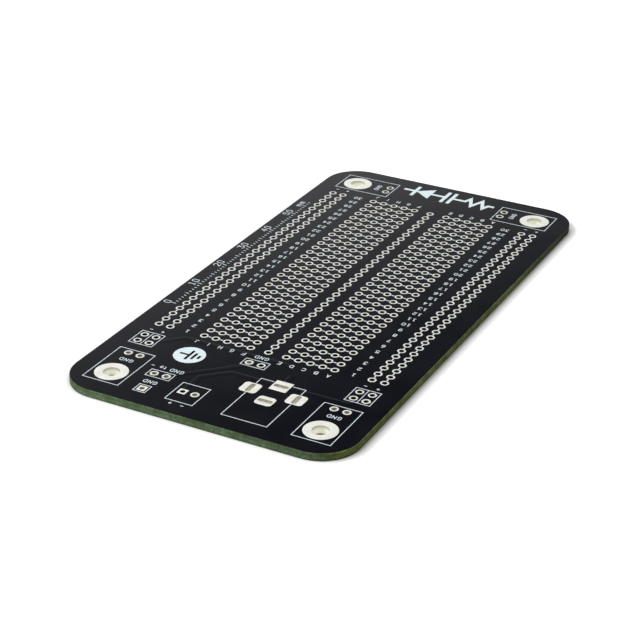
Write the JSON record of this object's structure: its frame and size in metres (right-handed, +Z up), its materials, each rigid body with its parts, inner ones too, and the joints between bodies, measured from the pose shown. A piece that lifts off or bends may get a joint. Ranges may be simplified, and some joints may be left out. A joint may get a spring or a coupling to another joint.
{
  "type": "prototype board",
  "caption": "Flat rectangular prototype board with rounded corners, a black coat, plated holes on a 0.1 inch grid, tied strips and rails, and corner mounting holes.",
  "frame": {"origin": "middle of the board on its underside", "axes": "+X along the hole rows towards the highest column, +Y towards the rear long edge with row J, +Z up out of the printed face"},
  "size_m": [0.1168, 0.0584, 0.0016],
  "materials": {
    "laminate": "routed glass-epoxy edge, matt, speckled green",
    "mask": "black solder mask, satin gloss",
    "tinned": "bright tin-lead levelled solder over copper",
    "ink": "white legend ink, matt"
  },
  "bodies": {
    "root": {"substrate": "laminate", "mask_top": "mask", "mask_bottom": "mask", "legend_print": "ink", "rail_rear_negative": "tinned", "rail_rear_positive": "tinned", "rail_front_negative": "tinned", "rail_front_positive": "tinned", "centre_bus": "tinned", "positive_feed": "tinned", "ground_feed_run": "tinned", "link_header_pad": "tinned", "terminal_negative_pad": "tinned", "ground_test_pad": "tinned", "jack_sleeve_pad": "tinned", "jack_tab_pad_front": "tinned", "jack_tab_pad_rear": "tinned", "jumper_pad_front": "tinned", "jumper_pad_rear": "tinned", "mount_land_left_front": "tinned", "mount_land_left_rear": "tinned", "mount_land_right_front": "tinned", "mount_land_right_rear": "tinned", "ground_pads_left_front": "tinned", "ground_pads_left_rear": "tinned", "ground_pads_right_front": "tinned", "ground_pads_right_rear": "tinned", "column_01": "tinned", "column_02": "tinned", "column_03": "tinned", "column_04": "tinned", "column_05": "tinned", "column_06": "tinned", "column_07": "tinned", "column_08": "tinned", "column_09": "tinned", "column_10": "tinned", "column_11": "tinned", "column_12": "tinned", "column_13": "tinned", "column_14": "tinned", "column_15": "tinned", "column_16": "tinned", "column_17": "tinned", "column_18": "tinned", "column_19": "tinned", "column_20": "tinned", "column_21": "tinned", "column_22": "tinned", "column_23": "tinned", "column_24": "tinned", "column_25": "tinned", "column_26": "tinned", "column_27": "tinned", "column_28": "tinned", "column_29": "tinned", "column_30": "tinned"}
  },
  "joints": []
}
